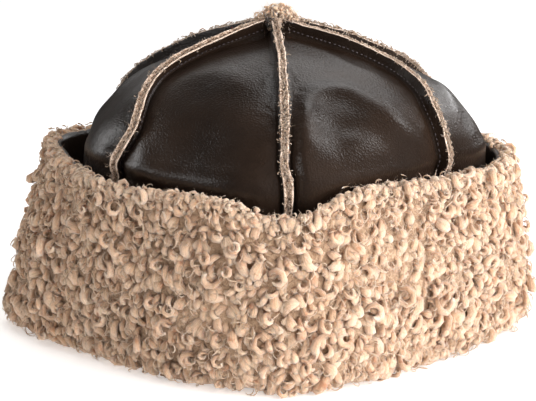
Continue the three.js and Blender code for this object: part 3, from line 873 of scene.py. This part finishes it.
def cuff_locks(azimuth, share):
    """The large curled locks of the cuff, one in ten of them a ring."""
    face, out, down = cuff_frame(azimuth, share)
    n = len(face)
    fine = lerp(1.0, 0.80, smooth(share, 0.70, 0.88))
    coarse = 1 + 0.16 * noise(face, 15.0, 3.7)
    size = rng.lognormal(math.log(LOCK_HALF), LOCK_SPREAD, n) * coarse
    size = np.clip(size, LOCK_LEAST, LOCK_MOST) * fine
    ring = rng.random(n) < RING_SHARE
    bend = size * np.where(ring, rng.uniform(*RING_BEND, n), rng.uniform(*CURL_BEND, n)) + 0.3
    size = size * np.where(ring, 0.75, 1)
    tilt = np.where(ring, rng.uniform(*RING_TILT, n), rng.normal(*CURL_TILT, n))
    tilt = tilt * rng.choice([-1, 1], n)
    turn = np.where(ring, rng.uniform(*RING_TURN, n), rng.uniform(*CURL_TURN, n))
    rise = rng.uniform(1.0, 3.2, n) * np.cos(tilt)
    lie = lie_direction(face, out, down, 0.45)
    depth = np.where(ring, 1.4, bend * 1.55 + 1.0) + rise * 0.55 + rng.uniform(-0.7, 0.7, n)
    depth = depth - 1.0 * noise(face, 6.5, 6.1) - 1.5 * noise(face, 14.0, 0.4) - 0.3
    return plant(face, out, lie, depth, size, bend, tilt, turn, rise, CUFF_LOCK)


def rim_locks(azimuth, share):
    """Short fine locks that make the rim's soft edge."""
    face, out, down = cuff_frame(azimuth, share)
    n = len(face)
    size = rng.uniform(0.85, 1.7, n)
    bend = size * rng.uniform(1.1, 1.8, n) + 0.4
    turn = rng.uniform(1.6, 3.6, n)
    rise = rng.uniform(0.6, 2.0, n)
    lie = lie_direction(face, out, down, 1.1)
    depth = bend * 1.3 + rise * 0.6 + rng.uniform(0.2, 1.0, n)
    tilt = rng.normal(0, 0.5, n)
    return plant(face, out, lie, depth, size, bend, tilt, turn, rise, RIM_LOCK, back=0.8)


def wisps(azimuth, share):
    """Thin strands that have come loose from the locks."""
    face, out, down = cuff_frame(azimuth, share)
    n = len(face)
    size = rng.uniform(0.22, 0.48, n)
    bend = rng.uniform(1.6, 3.6, n) * lerp(1.0, 0.7, smooth(share, 0.8, 0.95))
    tilt = rng.uniform(-1.4, 1.4, n)
    turn = rng.uniform(2.0, 5.0, n)
    rise = rng.uniform(0.3, 1.6, n) * np.cos(tilt)
    lie = lie_direction(face, out, down, 0.8)
    depth = bend * np.cos(tilt) * 1.1 + rng.uniform(-0.9, 0.9, n)
    return plant(face, out, lie, depth, size, bend, tilt, turn, rise, WISP, tone=0.6)


def make_locks_with_hairs(locks_name, hairs_name, parts, count):
    """Locks, and short hairs that stand off their outer side and follow their bend."""
    show_cuff_wool(locks_name, *parts)
    points = parts[0]
    n, steps, sides, _ = points.shape
    lock, side = rng.integers(0, n, 3 * count), rng.integers(0, sides, 3 * count)
    step = rng.integers(2, steps - 1, 3 * count)
    root = points[lock, step, side]
    away = unit(root - points[lock, step].mean(axis=1))
    outward = unit((root - CENTRE) * np.array([1, 1, 0]))
    bend = unit(points[lock, step + 1, side] - points[lock, step - 1, side])
    keep = np.flatnonzero(np.sum(away * outward, axis=1) + 0.6 * away[:, 2] > 0.1)[:count]
    root, away, bend = root[keep], away[keep], bend[keep]
    length = rng.uniform(0.8, 2.3, len(root))
    first = unit(bend * 0.8 + away * 0.55 + rng.normal(0, 0.35, root.shape))
    curl = (rng.normal(0, 0.45, root.shape) - away * 0.25) * length[:, None]
    width = rng.uniform(0.14, 0.34, len(root))
    show_cuff_wool(hairs_name, *ribbons(root - away * 0.1, first, curl, length, width, segments=2))


def make_cuff_wool():
    azimuth, share = seeds(LOCK_ROWS, LOCK_COLUMNS, LOCKS_FROM, LOCKS_TO)
    quarter = np.floor(((azimuth + 45) % 360) / 90).astype(int)
    for k, side in enumerate(("front", "right", "back", "left")):
        pick = quarter == k
        make_locks_with_hairs(f"cuff_locks_{side}", f"cuff_lock_hairs_{side}",
                              cuff_locks(azimuth[pick], share[pick]), LOCK_HAIRS)
    make_locks_with_hairs("cuff_rim_locks", "cuff_rim_hairs",
                          rim_locks(*seeds(RIM_ROWS, RIM_COLUMNS, RIM_FROM, 1.0)), RIM_HAIRS)
    azimuth, share = rng.uniform(0, 360, WISPS), rng.uniform(0.05, 0.98, WISPS)
    show_cuff_wool("cuff_wisps", *wisps(azimuth, share))
    azimuth, share = rng.uniform(0, 360, HAIRS), rng.uniform(0.08, 1.0, HAIRS)
    face, out, down = cuff_frame(azimuth, share)
    first = unit(out + rng.normal(0, 1.3, face.shape))
    length = rng.uniform(0.8, 2.3, HAIRS)
    curl = rng.normal(0, 1, face.shape) * length[:, None] + down * 0.4
    width = rng.uniform(0.05, 0.11, HAIRS)
    show_cuff_wool("cuff_hairs", *ribbons(face - out * 0.9, first, curl, length, width))


make_cuff_wool()


# Wool and thread along the seams, and the tuft at the peak

# seam, curls, hairs, half width of a curl, least and most radius of its curl, height it covers
FUZZ = [
    (0, 700, 420, 0.26, 0.4, 0.9, 1.0), (1, 520, 480, 0.24, 0.5, 1.2, 1.0),
    (2, 860, 520, 0.36, 0.7, 1.7, 2.2), (3, 420, 300, 0.28, 0.6, 1.4, 1.3),
    (4, 560, 380, 0.28, 0.6, 1.4, 1.4), (5, 400, 480, 0.24, 0.4, 1.0, 1.1),
]
FUZZ_TO = 8.7


def fin_tops(seam, count, spread):
    """Places along the top of a fin, with the way down the seam, across it and up the fin."""
    station = FUZZ_TO * rng.random(count) ** 0.85
    foot, down, side, up = seam_frame(seam, station)
    side, up = leaning(seam, station, side, up)
    offset = rng.normal(0, spread, count) * edge_scale(station, least=0.2)
    return foot + up * fin_height(seam, station)[:, None] + side * offset[:, None], down, side, up


def make_fuzz(seam, curls, hairs, size, low, high, cover):
    """Curls and single hairs of wool that stand out between the raw edges of a seam."""
    gores = (f"crown_gore_{seam or GORES}", f"crown_gore_{seam + 1}")
    n = curls
    top, down, side, up = fin_tops(seam, n, 0.95)
    lie = unit(side * rng.normal(0, 1, n)[:, None] + down * rng.normal(0, 1.2, n)[:, None])
    half = rng.uniform(0.7, 1.3, n) * size
    parts = make_locks(
        top - up * rng.uniform(0.2, 0.6, n)[:, None], up, lie, half, rng.uniform(low, high, n),
        rng.normal(0, 0.5, n), rng.uniform(2.0, 5.0, n), rng.uniform(0.2, 0.6, n) * cover,
        rng.uniform(0, 1, n), SEAM_CURL)
    show_wool(f"seam_wool_{seam}", gores, SEAM_WOOL, *parts)

    top, down, side, up = fin_tops(seam, hairs, 0.9)
    length = rng.uniform(0.8, 2.4, hairs) * (0.6 + 0.4 * cover)
    first = up + side * rng.normal(0, 0.9, hairs)[:, None] + down * rng.normal(0, 0.7, hairs)[:, None]
    curl = rng.normal(0, 0.7, top.shape) * length[:, None]
    width = rng.uniform(0.06, 0.12, hairs)
    parts = ribbons(top - up * 0.6, unit(first), curl, length, width)
    show_wool(f"seam_hairs_{seam}", gores, SEAM_WOOL, *parts)


STITCH_PITCH = 2.3
STITCH_LENGTH = 1.7
STITCH_RISE = 1.9
STITCH_HALF = 0.27
STITCH_STEPS, STITCH_SIDES = 5, 5
STITCHED_FROM, STITCHED_TO = 0.25, 8.9


def make_stitches():
    """Rows of thread through both raw edges, a dash on each side of every fin."""
    paths, widths, thicknesses = [], [], []
    fine = np.linspace(STITCHED_FROM, STITCHED_TO, 600)
    u = np.linspace(0, 1, STITCH_STEPS)
    sink = 0.40 * (2 * u - 1) ** 4
    half = STITCH_HALF * np.sqrt(np.clip(1.05 - (2 * u - 1) ** 4, 0, 1))[None, :, None]
    for seam in range(GORES):
        foot = seam_frame(seam, fine)[0]
        walked = np.concatenate([[0], np.cumsum(np.linalg.norm(np.diff(foot, axis=0), axis=1))])
        for end in (-1, 1):
            starts = np.arange(2.0, walked[-1] - 3, STITCH_PITCH)
            starts = starts + rng.uniform(-0.22, 0.22, len(starts))
            length = STITCH_LENGTH + rng.uniform(-0.25, 0.25, len(starts))
            station = np.interp(starts[:, None] + length[:, None] * u, walked, fine)
            foot_at, _, side, up = seam_frame(seam, station)
            side, up = leaning(seam, station, side, up, share=0.5)
            scale = edge_scale(station)
            slant = rng.normal(0, 0.12, len(starts))[:, None] * (u - 0.5)
            out = SEAM_GAP / 2 + LIP_EDGE * scale + 0.14 - sink
            rise = STITCH_RISE * (0.4 + 0.6 * scale) + slant
            paths.append(foot_at + up * rise[..., None] - side * end * out[..., None])
            widths.append(up * half)
            thicknesses.append(side * half * 0.8)
    points, quads, caps = tubes(np.concatenate(paths), np.concatenate(widths),
                                np.concatenate(thicknesses), STITCH_SIDES)
    piece = make_mesh("seam_stitches", points, quads, [THREAD], caps=caps)
    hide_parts(*(f"crown_gore_{gore}" for gore in range(1, GORES + 1)))


# locks, half width of a lock, middle of a lump from the peak, its half axes
TUFT = [
    (70, 0.65, (0.0, 0.0, 149.5), (4.6, 4.6, 3.2)), (180, 0.60, (1.4, 0.3, 155.2), (6.0, 5.4, 4.7)),
    (90, 0.55, (6.6, 0.0, 153.2), (4.2, 4.4, 3.2)), (80, 0.50, (-5.2, 0.6, 153.2), (4.0, 4.2, 3.1)),
]
LUMP_HAIRS = 330
DARK_CURLS = 22
DARK_CURLS_RADIUS = 5.2
DARK_CURLS_TURN = (195, 262)
DARK_CURLS_HEIGHT = (149.5, 156.0)


def lump_roots(middle, half_axes, count):
    """Points on a lump of the tuft and their outward directions."""
    way = unit(rng.normal(0, 1, (count, 3)))
    bulge = 1 + 0.22 * noise(way * 3.0 + np.array(middle), 1.7, 6.6)
    root = PEAK + np.array(middle) + way * np.array(half_axes) * bulge[:, None]
    return root, unit(way / np.array(half_axes))


def make_tuft():
    """The wool where the fins meet: a plug between them and uneven lumps on top."""
    lumps = [lump_roots(middle, half_axes, count) for count, _, middle, half_axes in TUFT]
    root, out = (np.concatenate(group) for group in zip(*lumps))
    size = np.concatenate([half * rng.uniform(0.7, 1.3, count) for count, half, _, _ in TUFT])
    n = len(root)
    lie = unit(rng.normal(0, 1, root.shape) + np.array([0, 0, 0.3]))
    parts = make_locks(
        root - out * 1.8, out, lie, size, size * rng.uniform(1.0, 2.2, n) + 0.3,
        rng.normal(0, 0.6, n), rng.uniform(1.8, 4.4, n), rng.uniform(0.3, 1.9, n),
        rng.uniform(0, 1, n), TUFT_LOCK)
    show_wool("peak_wool", ["peak_tuft"], WOOL, *parts)


def make_dark_curls():
    """A few dark curls at the left of the tuft."""
    n = DARK_CURLS
    turn = np.radians(rng.uniform(*DARK_CURLS_TURN, n))
    height = rng.uniform(*DARK_CURLS_HEIGHT, n)
    out = np.stack([np.cos(turn), np.sin(turn), 0.4 + 0 * turn], axis=-1)
    root = PEAK + out * np.array([1, 1, 0]) * DARK_CURLS_RADIUS
    root[:, 2] = height
    size = rng.uniform(0.22, 0.42, n)
    parts = make_locks(
        root, unit(out), unit(rng.normal(0, 1, out.shape)), size, rng.uniform(0.9, 1.6, n),
        rng.uniform(-1.2, 1.2, n), rng.uniform(4.0, 7.0, n), rng.uniform(0.3, 1.0, n),
        rng.uniform(0, 1, n), DARK_CURL)
    show_wool("peak_dark_curls", ["peak_tuft"], DARK_WOOL, *parts)


def make_tuft_hairs():
    """Hairs on the lumps, but not on the plug between the fins."""
    lumps = [lump_roots(middle, half_axes, LUMP_HAIRS) for _, _, middle, half_axes in TUFT[1:]]
    root, out = (np.concatenate(group) for group in zip(*lumps))
    length = rng.uniform(1.0, 3.2, len(root))
    first = unit(out + rng.normal(0, 0.7, out.shape))
    curl = rng.normal(0, 0.8, out.shape) * length[:, None]
    width = rng.uniform(0.08, 0.20, len(root))
    show_wool("peak_hairs", ["peak_tuft"], WOOL, *ribbons(root, first, curl, length, width))


for row in FUZZ:
    make_fuzz(*row)
make_stitches()
make_tuft()
make_dark_curls()
make_tuft_hairs()

# Camera and lights, in metres and watts, and the floor, in millimetres
CAMERA_PLACE = (0, -0.9763, 0.2796)
CAMERA_AIM = (0, 0, 0.0632)
LENS = 137.0
FLOOR_HALF, FLOOR_ROWS = 3000, 9
FLOOR_GLOW = 0.42
LIGHT_AIM = (0, 0, 0.06)
WHITE, COOL, WARM = (1, 1, 1), (1.0, 0.98, 0.98), (1.0, 0.88, 0.74)
SOFT, SHINING = "soft", "shining"
# name, place, width, height, power, colour, and the surfaces that it lights
LIGHTS = [
    ("key", (1.40, -0.85, 0.72), 2.5, 2.0, 53, COOL, SOFT),
    ("right", (1.25, -0.95, 0.22), 1.9, 0.8, 27, COOL, SOFT),
    ("fill", (-1.30, -0.30, 0.40), 0.6, 0.6, 0.6, WARM, SOFT),
    ("top", (-0.1, 0.35, 1.5), 1.2, 1.2, 9, WHITE, SOFT),
    ("behind_right", (0.18, 1.25, 0.90), 0.8, 0.6, 1.5, WHITE, SHINING),
    ("above_right", (0.42, 0.69, 1.33), 0.8, 0.8, 3.8, WHITE, SHINING),
    ("side_right", (1.14, 0.31, 0.98), 0.5, 0.5, 4.0, WHITE, SHINING),
    ("patch", (0.78, 1.20, 0.50), 0.5, 0.25, 2.6, WHITE, SHINING),
    ("behind_left", (-0.33, 1.32, 0.78), 0.8, 0.6, 1.2, WHITE, SHINING),
    ("left", (-1.28, 0.50, 0.45), 0.6, 0.8, 5, WHITE, SHINING),
    ("front_left", (-1.24, -0.55, 0.40), 0.45, 0.4, 2, WHITE, SHINING),
]
# colour and strength of the room as soft and as shining surfaces see it, and behind the hat
ROOM = [((1.0, 0.95, 0.90, 1), 0.37), ((1.0, 0.98, 0.96, 1), 0.06), ((1, 1, 1, 1), 1.0)]


def put(name, data, location, aim):
    """An object at its place, turned towards its aim."""
    thing = bpy.data.objects.new(name, data)
    thing.location = location
    thing.rotation_mode = "QUATERNION"
    thing.rotation_quaternion = (Vector(aim) - Vector(location)).to_track_quat("-Z", "Y")
    bpy.context.scene.collection.objects.link(thing)
    return thing


def make_camera():
    data = bpy.data.cameras.new("camera")
    data.sensor_width = 36
    data.lens = LENS
    data.clip_start, data.clip_end = 0.05, 50
    bpy.context.scene.camera = put("camera", data, CAMERA_PLACE, CAMERA_AIM)


def make_floor():
    s = Shader("pale_floor", roughness=0.85, specular=0.2)
    tone = s.ramp(s.noise(s.place(), 3, detail=2), [(0.3, grey(0.93)), (0.7, grey(0.95))])
    s.surface({"Base Color": tone, "Emission Color": tone, "Emission Strength": FLOOR_GLOW})
    span = np.linspace(-FLOOR_HALF, FLOOR_HALF, FLOOR_ROWS)
    x, y = np.meshgrid(span, span, indexing="ij")
    points = np.stack([x, y, 0 * x], axis=-1)
    floor = make_mesh("floor", points, grid_faces(FLOOR_ROWS, FLOOR_ROWS), [s.material])
    floor.visible_glossy = False


def make_lights():
    for name, location, width, height, power, colour, kind in LIGHTS:
        data = bpy.data.lights.new(name, "AREA")
        data.shape = "RECTANGLE"
        data.size, data.size_y = width, height
        data.energy, data.color = power, colour
        light = put(name, data, location, LIGHT_AIM)
        light.visible_diffuse = kind == SOFT
        light.visible_glossy = kind == SHINING


def make_world():
    """White behind the hat, and a room that shining surfaces see dimmer than soft ones do."""
    world = bpy.data.worlds.new("studio")
    world.use_nodes = True
    tree = world.node_tree
    soft, shining, behind = (
        add_node(tree, "Background", {"Color": colour, "Strength": strength}).outputs[0]
        for colour, strength in ROOM)
    seen = add_node(tree, "LightPath").outputs
    room = add_node(tree, "MixShader", {0: seen["Is Glossy Ray"], 1: soft, 2: shining}).outputs[0]
    choose = add_node(tree, "MixShader", {0: seen["Is Camera Ray"], 1: room, 2: behind})
    tree.links.new(choose.outputs[0], tree.nodes["World Output"].inputs["Surface"])
    bpy.context.scene.world = world


make_camera()
make_floor()
make_lights()
make_world()
bpy.context.scene.view_settings.view_transform = "Standard"
